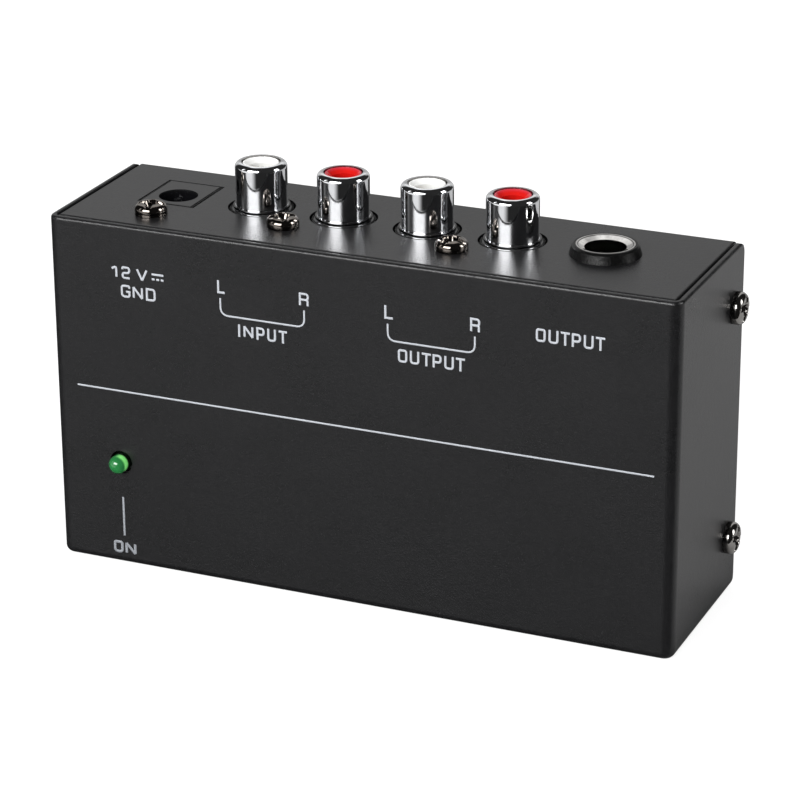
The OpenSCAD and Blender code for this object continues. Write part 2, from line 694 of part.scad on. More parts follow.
// the fixed sleeve terminal: a bar at the spring's root, led round the pin to the board
module power_inlet_terminal() {
    top = dc_root_z - leaf_gap;
    low = top - tail_t;
    side = dc_x - dc_bar_x;
    color([0.83, 0.68, 0.35]) {
        box([side, dc_y - dc_leaf_y - 0.5, low], [dc_x + dc_leaf_w / 2, dc_y - dc_leaf_y + 0.5, top]);
        box([side, dc_y - dc_leaf_y - 0.5, low], [side + dc_bar_w, dc_y + dc_shoulder_r + 1.5, top]);
        box([side, dc_y + dc_shoulder_r + 0.7, low], [dc_x + tail_w / 2, dc_y + dc_shoulder_r + 1.5, top]);
        box([dc_x - tail_w / 2, dc_y + dc_shoulder_r + 0.7, low], [dc_x + tail_w / 2, tail_end, top]);
    }
}

module power_inlet_spring() {
    t = leaf_t;
    far_z = dc_bump[1] + 1.6;
    color([0.83, 0.68, 0.35]) translate([dc_x - dc_leaf_w / 2, dc_y, 0]) rotate([90, 0, 90])
        linear_extrude(dc_leaf_w) polygon([
            [-dc_leaf_y - t / 2, dc_root_z], [-dc_leaf_y + t / 2, dc_root_z],
            [-dc_leaf_y + t / 2, dc_bump[1] - 2.2], [-dc_bump[0], dc_bump[1] - 0.3],
            [-dc_bump[0], dc_bump[1] + 0.3], [-dc_bump[0] - 0.7, far_z],
            [-dc_bump[0] - 0.7 - t, far_z], [-dc_bump[0] - t, dc_bump[1] + 0.2],
            [-dc_bump[0] - t, dc_bump[1] - 0.2], [-dc_leaf_y - t / 2, dc_bump[1] - 2.1]
        ]);
}

module ground_screw() {
    color([0.3, 0.29, 0.28]) translate([dc_x, ground_y, panel_z + washer_t + 2 * run_gap]) rotate(15)
        pan_screw(ground_head_h, screw_l);
}

module ground_washer() {
    color([0.7, 0.7, 0.7]) translate([dc_x, ground_y, panel_z + run_gap]) difference() {
        cylinder(r = head_r, h = washer_t);
        translate([0, 0, -cut]) cylinder(r = thread_r + run_gap, h = washer_t + 2 * cut);
    }
}

module ground_nut() {
    color([0.7, 0.7, 0.7]) translate([dc_x, ground_y, under_z - ground_nut_h]) difference() {
        cylinder(r = ground_nut_r, h = ground_nut_h, $fn = 6);
        translate([0, 0, -cut]) cylinder(r = thread_r + run_gap, h = ground_nut_h + 2 * cut);
    }
}

// ---------- lamp ----------

module power_lamp() {
    color([0.1, 0.55, 0.2, 0.9]) {
        rod_y(led_x, led_tip, led_flange_y + 0.1, led_z, led_r);
        translate([led_x, led_tip, led_z]) sphere(led_r);
        rod_y(led_x, led_flange_y, led_flange_y + led_flange_t, led_z, led_flange_r);
    }
}

module lamp_leads() {
    color([0.78, 0.78, 0.8]) for (x = led_legs)
        rod_y(led_x + x, led_flange_y + led_flange_t, tail_end, led_z, lead_r);
}

module lamp_spacer() {
    color([0.12, 0.12, 0.12]) difference() {
        rod_y(led_x, led_flange_y + led_flange_t, board_y, led_z, led_spacer_r);
        for (x = led_legs)
            rod_y(led_x + x, led_flange_y, board_y + cut, led_z, lead_r + run_gap);
    }
}

// ---------- parts on the board ----------

module amplifier_chip(p) {
    color([0.1, 0.1, 0.1]) difference() {
        box([p[0] - chip_size[0] / 2, board_y - chip_lift - chip_size[1], p[1] - chip_size[2] / 2],
            [p[0] + chip_size[0] / 2, board_y - chip_lift, p[1] + chip_size[2] / 2]);
        rod_y(p[0] - chip_size[0] / 2, board_y - chip_lift - chip_size[1] - cut,
            board_y - chip_lift - chip_size[1] + 0.4, p[1], 0.8);
    }
}

module chip_pins() {
    color([0.78, 0.78, 0.8]) for (c = chips) for (i = [-1.5:1:1.5]) for (s = [-1, 1])
        translate([c[0] + i * chip_pitch, 0, c[1]]) mirror([0, 0, s < 0 ? 1 : 0]) {
            box([-0.25, board_y - 2.2, chip_size[2] / 2], [0.25, board_y - 1.95, chip_span / 2 + 0.12]);
            box([-0.25, board_y - 2.2, chip_span / 2 - 0.13], [0.25, tail_end - 0.2, chip_span / 2 + 0.12]);
        }
}

module capacitor_cans() {
    color([0.75, 0.75, 0.77]) for (c = cans)
        rod_y(c[0], board_y - can_lift - c[3], board_y - can_lift, c[1], c[2] - can_sleeve);
}

module capacitor_sleeves() {
    color([0.1, 0.12, 0.2]) for (c = cans) difference() {
        rod_y(c[0], board_y - can_lift - c[3] - 0.1, board_y, c[1], c[2]);
        rod_y(c[0], board_y - can_lift - c[3], board_y + cut, c[1], c[2] - can_sleeve);
        rod_y(c[0], board_y - can_lift - c[3] - cut, board_y, c[1], c[2] - can_sleeve - can_groove);
    }
}

module film_capacitors() {
    color([0.6, 0.1, 0.08]) for (f = films)
        box([f[0] - film_size[0] / 2, board_y - film_size[1], f[1] - film_size[2] / 2],
            [f[0] + film_size[0] / 2, board_y, f[1] + film_size[2] / 2]);
}

module resistors() {
    color([0.45, 0.62, 0.72]) for (x = resistor_xs) translate([x, board_y - resistor_lift, resistor_row]) {
        translate([0, 0, -resistor_l / 2 + 0.6]) cylinder(r = resistor_r - 0.15, h = resistor_l - 1.2);
        for (s = [-1, 1]) intersection() {
            translate([0, 0, s * (resistor_l / 2 - 1) - 1]) cylinder(r = resistor_r, h = 2);
            translate([0, 0, s * (resistor_l / 2 - 1.1)]) sphere(1.3);
        }
    }
}

module supply_diode() {
    color([0.08, 0.08, 0.08])
        translate([diode_at[0] - diode_l / 2, board_y - resistor_lift, diode_at[1]]) rotate([0, 90, 0])
            cylinder(r = 1.25, h = diode_l);
}

module voltage_regulator() {
    color([0.1, 0.1, 0.1]) difference() {
        rod_y(regulator_at[0], board_y - regulator_lift - regulator_h, board_y - regulator_lift,
            regulator_at[1], regulator_r);
        box([regulator_at[0] - 4, board_y - regulator_lift - regulator_h - cut, regulator_at[1] + 1.4],
            [regulator_at[0] + 4, board_y, regulator_at[1] + 4]);
    }
}

// bent wire leads of the lying parts, straight leads of the standing ones
module component_leads() {
    bend_y = board_y - resistor_lift;
    bent_r = lead_r - 0.02;
    color([0.78, 0.78, 0.8]) {
        for (x = resistor_xs) for (s = [-1, 1]) {
            rod_y(x, bend_y - lead_r, tail_end, resistor_row + s * resistor_span / 2, lead_r);
            translate([x, bend_y, resistor_row + s * (resistor_l / 2 + resistor_span / 2 + 0.4) / 2])
                cylinder(r = bent_r, h = (resistor_span - resistor_l) / 2 + 0.1 - 0.2, center = true);
        }
        for (s = [-1, 1]) {
            rod_y(diode_at[0] + s * diode_span / 2, bend_y - lead_r, tail_end, diode_at[1], lead_r);
            translate([diode_at[0] + s * (diode_l + diode_span) / 4, bend_y, diode_at[1]])
                rotate([0, 90, 0]) cylinder(r = bent_r, h = (diode_span - diode_l) / 2, center = true);
        }
        for (p = regulator_leads) rod_y(p[0], board_y - regulator_lift, tail_end, p[1], lead_r);
        for (p = can_leads) rod_y(p[0], board_y - can_lift, tail_end, p[1], lead_r);
        for (p = film_leads) rod_y(p[0], board_y, tail_end, p[1], lead_r);
    }
}

// ---------- nodes ----------

front_cover();
chassis();
side_screws();
rubber_feet();
circuit_board();
board_standoffs();
board_screws();
solder_joints();
color([0.1, 0.1, 0.1]) jack_block(rca_mids[0]);  // input_jack_block
color([0.1, 0.1, 0.1]) jack_block(rca_mids[1]);  // output_jack_block
jack_block_screws();
barrel(rca_xs[0]);  // input_left_barrel
barrel(rca_xs[1]);  // input_right_barrel
barrel(rca_xs[2]);  // output_left_barrel
barrel(rca_xs[3]);  // output_right_barrel
color([0.93, 0.93, 0.9]) insert(rca_xs[0]);  // input_left_insert
color([0.8, 0.05, 0.05]) insert(rca_xs[1]);  // input_right_insert
color([0.93, 0.93, 0.9]) insert(rca_xs[2]);  // output_left_insert
color([0.8, 0.05, 0.05]) insert(rca_xs[3]);  // output_right_insert
contact(rca_xs[0]);  // input_left_contact
contact(rca_xs[1]);  // input_right_contact
contact(rca_xs[2]);  // output_left_contact
contact(rca_xs[3]);  // output_right_contact
phone_jack_body();
phone_jack_nut();
phone_jack_ferrule();
phone_jack_terminals();
phone_tip_spring();
phone_ring_spring();
power_inlet_body();
power_inlet_pin();
power_inlet_terminal();
power_inlet_spring();
ground_screw();
ground_washer();
ground_nut();
power_lamp();
lamp_leads();
lamp_spacer();
amplifier_chip(chips[0]);  // input_amplifier_chip
amplifier_chip(chips[1]);  // output_amplifier_chip
chip_pins();
capacitor_cans();
capacitor_sleeves();
film_capacitors();
resistors();
supply_diode();
voltage_regulator();
component_leads();
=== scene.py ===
import math

import bpy
from mathutils import Matrix, Vector


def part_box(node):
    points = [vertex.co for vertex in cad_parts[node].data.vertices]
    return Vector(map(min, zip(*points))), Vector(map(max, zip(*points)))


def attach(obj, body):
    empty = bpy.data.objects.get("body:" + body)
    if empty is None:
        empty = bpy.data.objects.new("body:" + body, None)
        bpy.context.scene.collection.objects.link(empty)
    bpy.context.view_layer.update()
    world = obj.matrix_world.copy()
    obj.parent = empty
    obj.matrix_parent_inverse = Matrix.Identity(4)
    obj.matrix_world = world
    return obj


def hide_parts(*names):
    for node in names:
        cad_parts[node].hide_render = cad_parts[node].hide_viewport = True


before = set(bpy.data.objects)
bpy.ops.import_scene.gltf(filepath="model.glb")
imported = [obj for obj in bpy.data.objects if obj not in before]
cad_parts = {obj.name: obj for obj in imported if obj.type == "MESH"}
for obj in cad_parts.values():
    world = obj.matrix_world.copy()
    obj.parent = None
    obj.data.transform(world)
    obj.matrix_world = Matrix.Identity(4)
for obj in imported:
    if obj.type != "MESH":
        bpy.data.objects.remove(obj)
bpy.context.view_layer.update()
MM = 0.001


# ---- Camera and light ----
# The preamplifier stands on a pale table in a small studio: one wide softbox in front and to
# the left, a narrow strip at each side and a panel overhead. The room behind the camera is
# dark and the backdrop is white, which is what gives the plated jacks their bands.

camera_place = Vector((192.640, -441.426, 224.129)) * MM
azimuth, elevation, roll = (math.radians(angle) for angle in (23.437, 22.021, -0.3505))
camera_data = bpy.data.cameras.new("studio_camera")
camera_data.sensor_width, camera_data.lens = 36, 147.53
camera_data.clip_start, camera_data.clip_end = 0.05, 20
studio_camera = bpy.data.objects.new("studio_camera", camera_data)
bpy.context.scene.collection.objects.link(studio_camera)
bpy.context.scene.camera = studio_camera
forward = Vector((-math.sin(azimuth) * math.cos(elevation),
                  math.cos(azimuth) * math.cos(elevation), -math.sin(elevation)))
level = Vector((math.cos(azimuth), math.sin(azimuth), 0))
upright = level.cross(forward)
right = level * math.cos(roll) + upright * math.sin(roll)
up = upright * math.cos(roll) - level * math.sin(roll)
studio_camera.matrix_world = (Matrix.Translation(camera_place)
                              @ Matrix((right, up, -forward)).transposed().to_4x4())


def lamp(name, degrees, rise, distance, width, tall, radiance):
    """A softbox aimed at the case, seen from it so many degrees right of the front."""
    aim = Vector((0, 0, 0.04))
    data = bpy.data.lights.new(name, "AREA")
    data.shape, data.size, data.size_y = "RECTANGLE", width, tall
    data.energy = radiance * math.pi * width * tall
    box = bpy.data.objects.new(name, data)
    turn, rise = math.radians(degrees), math.radians(rise)
    way = Vector((math.sin(turn) * math.cos(rise), -math.cos(turn) * math.cos(rise),
                  math.sin(rise)))
    box.matrix_world = (Matrix.Translation(aim + way * distance)
                        @ way.to_track_quat("Z", "Y").to_matrix().to_4x4())
    box.visible_glossy = False
    bpy.context.scene.collection.objects.link(box)


lamp("front_box", degrees=-13, rise=27, distance=0.9, width=0.80, tall=0.30, radiance=13)
lamp("left_strip", degrees=-66, rise=24, distance=0.8, width=0.06, tall=0.4, radiance=7)
lamp("right_strip", degrees=101, rise=24, distance=0.8, width=0.12, tall=0.4, radiance=9)
lamp("overhead", degrees=-150, rise=72, distance=0.9, width=0.42, tall=0.42, radiance=2.5)


class Value:
    """A number or colour on a shader socket, for writing shader maths as expressions."""

    def __init__(self, nodes, socket):
        self.nodes, self.socket = nodes, socket

    def math(self, operation, other=None, swap=False):
        values = [v for v in ((other, self) if swap else (self, other)) if v is not None]
        return self.nodes.add("ShaderNodeMath", {"operation": operation}, dict(enumerate(values)))

    def __add__(self, other): return self.math("ADD", other)
    def __radd__(self, other): return self.math("ADD", other)
    def __sub__(self, other): return self.math("SUBTRACT", other)
    def __rsub__(self, other): return self.math("SUBTRACT", other, True)
    def __mul__(self, other): return self.math("MULTIPLY", other)
    def __rmul__(self, other): return self.math("MULTIPLY", other)
    def __truediv__(self, other): return self.math("DIVIDE", other)


class Nodes:
    """A node tree that is built by calls."""

    def __init__(self, tree):
        self.tree = tree
        tree.nodes.clear()

    def add(self, kind, settings=None, inputs=None, output=0):
        node = self.tree.nodes.new(kind)
        for key, value in (settings or {}).items():
            setattr(node, key, value)
        for key, value in (inputs or {}).items():
            if isinstance(value, Value):
                self.tree.links.new(value.socket, node.inputs[key])
            else:
                node.inputs[key].default_value = value
        return Value(self, node.outputs[output]) if len(node.outputs) else None

    def parts(self, vector):
        return [self.add("ShaderNodeSeparateXYZ", {}, {0: vector}, i) for i in range(3)]

    def mix(self, factor, low, high):
        return self.add("ShaderNodeMix", {"data_type": "RGBA"}, {0: factor, 6: low, 7: high}, 2)

    def step(self, value, start, end):
        """0 at start, 1 at end, smooth in between."""
        return self.add("ShaderNodeMapRange", {"interpolation_type": "SMOOTHSTEP"},
                        {"Value": value, "From Min": start, "From Max": end})

    def window(self, value, low, high, soft):
        """1 between low and high, with soft edges."""
        return (self.step(value, low - soft, low + soft)
                * (1 - self.step(value, high - soft, high + soft)))


def rgb(*channels):
    """A colour given as it shows on a screen, 0 to 255, as linear light."""
    return (*(c / 3294.6 if c <= 10 else ((c / 255 + 0.055) / 1.055) ** 2.4 for c in channels), 1)


# What glossy surfaces see, by direction: degrees around from the front, to the right, and
# degrees of rise above the horizon. Below it lies the table, above it the room.
world = bpy.data.worlds.new("studio")
bpy.context.scene.world = world
world.use_nodes = True
sky = Nodes(world.node_tree)
east, north, height = sky.parts(sky.add("ShaderNodeTexCoord"))
around = east.math("ARCTAN2", north * -1) * (180 / math.pi)
rise = height.math("ARCSINE") * (180 / math.pi)
backdrop_north, backdrop_west = 0.914, 0.407
flat_length = (1 - height * height + 0.0001).math("SQRT")
behind = sky.step((north * backdrop_north - east * backdrop_west) / flat_length, 0.76, 0.9)

# The table in front glows right of a slanting edge, and fades towards the case.
glow_edge = -28.5 - 155 * (height + 0.413)
glow = sky.step(around - glow_edge, -5, 5) * (1 - sky.step(around, -22, 6))
table_front = (glow * (0.25 + 0.96 * sky.step(height, -0.5, -0.22))).math("MAXIMUM", 0.022)
table_back = 0.06 + 0.5 * sky.step(height, -0.3, -0.1)

# The dark room in front, and one bright window for each softbox.
room_front = 0.025 + 0.6 * sky.window(around, -60, 10, 5) * (1 - sky.step(rise, 11, 17))
for left_edge, right_edge, lowest, highest, soft, radiance in (
    (-37, 12, 15, 37, 4, 15),
    (-68, -63, 10, 38, 2, 2.5),
    (93, 110, 10, 38, 3, 11),
    (-148, -112, 58, 74, 7, 2.5),
):
    room_front = room_front + (radiance * sky.window(around, left_edge, right_edge, soft)
                               * sky.window(rise, lowest, highest, soft))

# The backdrop behind the case, grey at the bottom and white where it rolls over the top.
backdrop = (0.40 + 0.24 * sky.step(height, 0.305, 0.35)
            + 0.28 * sky.step((around + 156).math("ABSOLUTE"), 12, 24))
roll_over = 0.5 + 0.2 * sky.step(east, -0.3, -0.05)
lifted = sky.step(height - roll_over, -0.06, 0.06)
zenith = sky.step(height, 0.965, 0.99)
room_back = (backdrop * (1 - lifted) + 1.1 * lifted) * (1 - zenith) + 0.03

over = sky.step(height, -0.03, 0.03)
front = table_front * (1 - over) + room_front * over
back = table_back * (1 - over) + room_back * over
mirrored = front * (1 - behind) + back * behind
RAYS, CAMERA_RAY, GLOSSY_RAY, TRANSMISSION_RAY = "ShaderNodeLightPath", 0, 3, 6
fill = 0.6
glossy = sky.add(RAYS, output=GLOSSY_RAY)
seen_through = sky.add(RAYS, output=TRANSMISSION_RAY)
white_page = sky.add(RAYS, output=CAMERA_RAY).math("MAXIMUM", seen_through)
strength = (fill * (1 - glossy) + mirrored * glossy).math("MAXIMUM", white_page)
sky.add("ShaderNodeOutputWorld", {}, {"Surface": sky.add("ShaderNodeBackground", {}, {
    "Color": (1, 1, 1, 1), "Strength": strength})})
bpy.context.scene.view_settings.view_transform = "Standard"

# The table: white to the camera but for the shadow, and hidden from glossy surfaces, which
# see the sky's table, apart from the part to the right of the case.
table_half = 1.5
sheet = bpy.data.meshes.new("table_top")
sheet.from_pydata([(-table_half, -table_half, 0), (table_half, -table_half, 0),
                   (table_half, table_half, 0), (-table_half, table_half, 0)],
                  [], [(0, 1, 2, 3)])
table_top = bpy.data.objects.new("table_top", sheet)
bpy.context.scene.collection.objects.link(table_top)
paper = bpy.data.materials.new("table_paper")
paper.use_nodes = True
page = Nodes(paper.node_tree)
lighting, shadowed, reflected = (
    page.add("ShaderNodeBsdfDiffuse", {}, {"Color": (tone, tone, tone, 1)})
    for tone in (0.85, 0.25, 0.51))
whiteness = page.add("ShaderNodeEmission", {}, {"Color": (1, 1, 1, 1), "Strength": 0.85})
shown = page.add("ShaderNodeAddShader", {}, {0: shadowed, 1: whiteness})
aside, beyond, _ = page.parts(page.add("ShaderNodeTexCoord", output=3))
beside_case = page.step(aside, 0.045, 0.06) * page.step(beyond, -0.0155, -0.0145)
mirror_look = page.add("ShaderNodeMixShader", {}, {
    0: beside_case, 1: page.add("ShaderNodeBsdfTransparent"), 2: reflected})
other_look = page.add("ShaderNodeMixShader", {}, {
    0: page.add(RAYS, output=GLOSSY_RAY), 1: lighting, 2: mirror_look})
page.add("ShaderNodeOutputMaterial", {}, {"Surface": page.add("ShaderNodeMixShader", {}, {
    0: page.add(RAYS, output=CAMERA_RAY), 1: other_look, 2: shown})})
sheet.materials.append(paper)


# ---- Case ----
# The cover and the chassis are cut and folded from one-millimetre steel and powder coated
# black. The cured powder is satin, with a fine orange-peel grain.

class Finish(Nodes):
    """A surface material: one principled shader, with its pattern on object coordinates."""

    def __init__(self, name, **constants):
        self.material = bpy.data.materials.new(name)
        self.material.use_nodes = True
        super().__init__(self.material.node_tree)
        self.shader = self.tree.nodes.new("ShaderNodeBsdfPrincipled")
        self.add("ShaderNodeOutputMaterial", {}, {0: Value(self, self.shader.outputs[0])})
        for key, value in constants.items():
            self.shader.inputs[key.replace("_", " ")].default_value = value
        self.spot = self.add("ShaderNodeTexCoord", output=3)
        self.facing = self.parts(self.add("ShaderNodeTexCoord", output=1))

    def feed(self, **sockets):
        for key, value in sockets.items():
            self.tree.links.new(value.socket, self.shader.inputs[key.replace("_", " ")])

    def noise(self, size, detail=2, stretch=(1, 1, 1)):
        """Noise from 0 to 1 whose blotches are about size millimetres across."""
        spot = self.add("ShaderNodeMapping", {}, {"Vector": self.spot, "Scale": stretch})
        return self.add("ShaderNodeTexNoise", {}, {
            "Vector": spot, "Scale": 1 / (size * MM), "Detail": detail})

    def bump(self, height, depth):
        """Relief of depth millimetres where the height is 1."""
        self.feed(Normal=self.add("ShaderNodeBump", {}, {"Height": height, "Distance": depth * MM}))


def dress(finish, *nodes):
    """Gives CAD nodes a finish."""
    for name in nodes:
        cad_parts[name].data.materials.clear()
        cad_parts[name].data.materials.append(finish.material)


powder_coat = Finish("powder_coat", Specular_IOR_Level=0.32)
grain = powder_coat.noise(0.3, 2) * 0.6 + powder_coat.noise(0.13, 1) * 0.4
cloud = powder_coat.noise(12, 2)
mottle = powder_coat.noise(0.9, 3)
powder = powder_coat.mix(cloud * 0.2 + grain * 0.4 + mottle * 0.4, rgb(4, 4, 5), rgb(32, 32, 33))
powder_coat.feed(Base_Color=powder, Roughness=0.235 + cloud * 0.04 + grain * 0.06)
powder_coat.bump(grain + mottle * 0.4, 0.045)
dress(powder_coat, "front_cover", "chassis")


# ---- Legend ----
# The lettering, the brackets and the lines are screen printed on the front in one pass of
# light grey ink, which stands one to four hundredths of a millimetre proud of the coat.

STROKE, RULE, LAMP_STROKE = 0.36, 0.29, 0.46
CORNER_STEPS = 6
GLYPHS = {
    "1": [[(0, 0.76), (1, 1), (1, 0)]],
    "2": [[(0, 0.8), (0, 1), (1, 1), (1, 0.5), (0, 0.46), (0, 0), (1, 0)]],
    "V": [[(0, 1), (0.5, 0)], [(0.5, 0), (1, 1)]],
    "=": [[(0, 1), (1, 1)], [(0, 0), (0.24, 0)], [(0.38, 0), (0.62, 0)], [(0.76, 0), (1, 0)]],
    "G": [[(1, 0.78), (1, 1), (0, 1), (0, 0), (1, 0), (1, 0.46)], [(1.14, 0.46), (0.56, 0.46)]],
    "N": [[(0, 0), (0, 1)], [(0, 1), (1, 0)], [(1, 0), (1, 1)]],
    "D": [[(0, -0.1), (0, 1.1)], [(0, 1), (1, 1), (1, 0), (0, 0)]],
    "L": [[(0, 1.1), (0, -0.1)], [(0, 0), (1.15, 0)]],
    "R": [[(0, -0.1), (0, 1.1)], [(0, 1), (1, 1), (1, 0.45), (0, 0.45)],
          [(0.5, 0.45), (0.97, 0.45), (0.97, -0.1)]],
    "I": [[(0, -0.1), (0, 1.1)]],
    "P": [[(0, -0.1), (0, 1.1)], [(0, 1), (1, 1), (1, 0.4), (0, 0.4)]],
    "U": [[(0, 1.1), (0, 0), (1, 0), (1, 1.1)]],
    "T": [[(-0.14, 1), (1.14, 1)], [(0.5, 1), (0.5, -0.1)]],
    "O": [[(0.5, 1), (0, 1), (0, 0), (1, 0), (1, 1), (0.5, 1)]],
}


def rounded(points, radius):
    """A line through the points with its corners rounded."""
    points = [Vector(p) for p in points]
    path = [points[0]]
    for before, corner, after in zip(points, points[1:], points[2:]):
        a, b = before - corner, after - corner
        bend = a.angle(b)
        if bend > math.radians(170):
            path.append(corner)
            continue
        reach = min(radius / math.tan(bend / 2), a.length * 0.499, b.length * 0.499)
        start, end = corner + a.normalized() * reach, corner + b.normalized() * reach
        for i in range(CORNER_STEPS + 1):
            t = i / CORNER_STEPS
            path.append(start * (1 - t) ** 2 + corner * 2 * t * (1 - t) + end * t ** 2)
    return path + [points[-1]]


def letter(sign, left, right_edge, low, high, radius=0.45, stroke=STROKE):
    """A sign's lines, from the outer edges of its printed shape."""
    half = stroke / 2
    x0, x1, z0, z1 = left + half, right_edge - half, low + half, high - half
    return [rounded([(x0 + u * (x1 - x0), z0 + v * (z1 - z0)) for u, v in line], radius)
            for line in GLYPHS[sign]]


lines = []
for low, high, signs in (
    (49.4, 51.5, (("1", -41.45, -40.30), ("2", -39.57, -38.02), ("V", -37.0, -34.95))),
    (46.29, 48.43, (("G", -39.81, -38.12), ("N", -37.73, -35.90), ("D", -35.40, -33.68))),
    (49.3, 51.45, (("L", -22.9, -21.6),)),
    (49.3, 51.4, (("R", -8.95, -7.26),)),
    (42.56, 44.65, (("I", -19.46, -19.1), ("N", -18.55, -16.82), ("P", -16.32, -14.9),
                    ("U", -14.46, -12.96), ("T", -12.53, -11.06))),
    (49.14, 51.33, (("L", 5.32, 6.75),)),
    (49.16, 51.34, (("R", 19.36, 21.01),)),
    (42.4, 44.55, (("O", 7.52, 9.10), ("U", 9.50, 11.08), ("T", 11.47, 12.99),
                   ("P", 13.25, 14.74), ("U", 15.16, 16.75), ("T", 17.06, 18.57))),
    (49.05, 51.2, (("O", 29.92, 31.51), ("U", 31.94, 33.54), ("T", 33.86, 35.34),
                   ("P", 35.63, 37.11), ("U", 37.52, 39.10), ("T", 39.41, 40.91))),
):
    for sign, left, right_edge in signs:
        lines += letter(sign, left, right_edge, low, high)
lines += letter("=", -34.43, -32.02, 49.85, 51.02, 0.1)
lines.append([Vector((-40.88, 11.8)), Vector((-40.88, 5.0))])
rules = []
for left, right_edge, low, high in ((-22.42, -8.11, 45.74, 48.53), (5.86, 20.14, 45.68, 48.38)):
    bracket = [(left, high), (left, low), (right_edge, low), (right_edge, high)]
    rules.append(rounded(bracket, 1.5))
rules.append([Vector((-48.3, 30.25)), Vector((49.0, 30.25))])
lamp_lines = []
for sign, left, right_edge in (("O", -42.96, -41.17), ("N", -40.86, -38.83)):
    lamp_lines += letter(sign, left, right_edge, 1.79, 3.95, 0.55, LAMP_STROKE)


def grow(name, mesh, build, **sizes):
    """Runs a geometry node tree on a mesh and keeps what it makes as a plain mesh object."""
    tree = bpy.data.node_groups.new(name, "GeometryNodeTree")
    for way in ("INPUT", "OUTPUT"):
        tree.interface.new_socket("Geometry", in_out=way, socket_type="NodeSocketGeometry")
    for size in sizes:
        tree.interface.new_socket(size, in_out="INPUT", socket_type="NodeSocketFloat")
    nodes = Nodes(tree)
    entry = tree.nodes.new("NodeGroupInput")
    values = [Value(nodes, socket) for socket in entry.outputs[:1 + len(sizes)]]
    nodes.add("NodeGroupOutput", {}, {0: build(nodes, *values)})
    seed = bpy.data.objects.new(name + "_seed", mesh)
    bpy.context.scene.collection.objects.link(seed)
    growth = seed.modifiers.new("grow", "NODES")
    growth.node_group = tree
    for item in tree.interface.items_tree:
        if item.in_out == "INPUT" and item.name in sizes:
            growth[item.identifier] = sizes[item.name]
    bpy.context.view_layer.update()
    evaluated = seed.evaluated_get(bpy.context.evaluated_depsgraph_get())
    grown = bpy.data.meshes.new_from_object(evaluated)
    bpy.data.objects.remove(seed)
    piece = bpy.data.objects.new(name, grown)
    bpy.context.scene.collection.objects.link(piece)
    return piece


legend_ink = Finish("legend_ink", Specular_IOR_Level=0.3)
speckle = legend_ink.noise(0.12, 3)
ink = legend_ink.mix(speckle, rgb(150, 153, 159), rgb(172, 175, 180))
# The ink is painted darker towards the bottom of the front, as painted shade.
low_down_shade = 1 - legend_ink.step(legend_ink.parts(legend_ink.spot)[2], 2 * MM, 34 * MM)
legend_ink.feed(Base_Color=legend_ink.mix(low_down_shade, ink, rgb(128, 131, 136)),
                Roughness=0.5 + speckle * 0.2)
legend_ink.bump(speckle, 0.01)


def printed(nodes, geometry, width, thickness):
    """A flat bar along each line, turned from the ground plane up to the front."""
    profile = nodes.add("GeometryNodeCurvePrimitiveQuadrilateral", {}, {
        "Width": width, "Height": thickness})
    curve = nodes.add("GeometryNodeMeshToCurve", {}, {"Mesh": geometry})
    curve = nodes.add("GeometryNodeSetCurveNormal", {"mode": "Z_UP"}, {"Curve": curve})
    solid = nodes.add("GeometryNodeCurveToMesh", {}, {
        "Curve": curve, "Profile Curve": profile, "Fill Caps": True})
    solid = nodes.add("GeometryNodeTransform", {}, {
        "Geometry": solid, "Rotation": (math.pi / 2, 0, 0)})
    return nodes.add("GeometryNodeSetMaterial", {}, {
        "Geometry": solid, "Material": legend_ink.material})


# Each line lies a little further out than the last, so that no two share a face.
front_face, ink_thickness, ink_proud, line_step = 15.1, 0.02, 0.004, 0.0004
for name, strokes, width in (("front_lettering", lines, STROKE), ("front_rules", rules, RULE),
                             ("lamp_lettering", lamp_lines, LAMP_STROKE)):
    points, edges = [], []
    for i, line in enumerate(strokes):
        outward = front_face + ink_proud + i * line_step
        edges += [(len(points) + j, len(points) + j + 1) for j in range(len(line) - 1)]
        points += [(p.x * MM, p.y * MM, outward * MM) for p in line]
    stencil = bpy.data.meshes.new(name + "_lines")
    stencil.from_pydata(points, edges, [])
    piece = grow(name, stencil, printed, width=width * MM, thickness=ink_thickness * MM)
    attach(piece, "case")


# ---- Screws ----
# All screws are steel pan heads with a cross recess. The four in the side walls are plated
# in bright nickel, the ones in the jack blocks, the board and the terminal in dark nickel.

nickels = []
for name, dark, light, smooth, scuffed in (
    ("dark_nickel", rgb(96, 91, 86), rgb(130, 123, 117), 0.05, 0.07),
    ("bright_nickel", rgb(134, 131, 128), rgb(168, 165, 162), 0.06, 0.08),
):
    nickel = Finish(name, Metallic=1.0)
    tarnish, scuff = nickel.noise(1.1, 3), nickel.noise(0.25, 3)
    nickel.feed(Base_Color=nickel.mix(tarnish, dark, light), Roughness=smooth + scuff * scuffed)
    nickel.bump(scuff, 0.004)
    nickels.append(nickel)
dark_nickel, bright_nickel = nickels


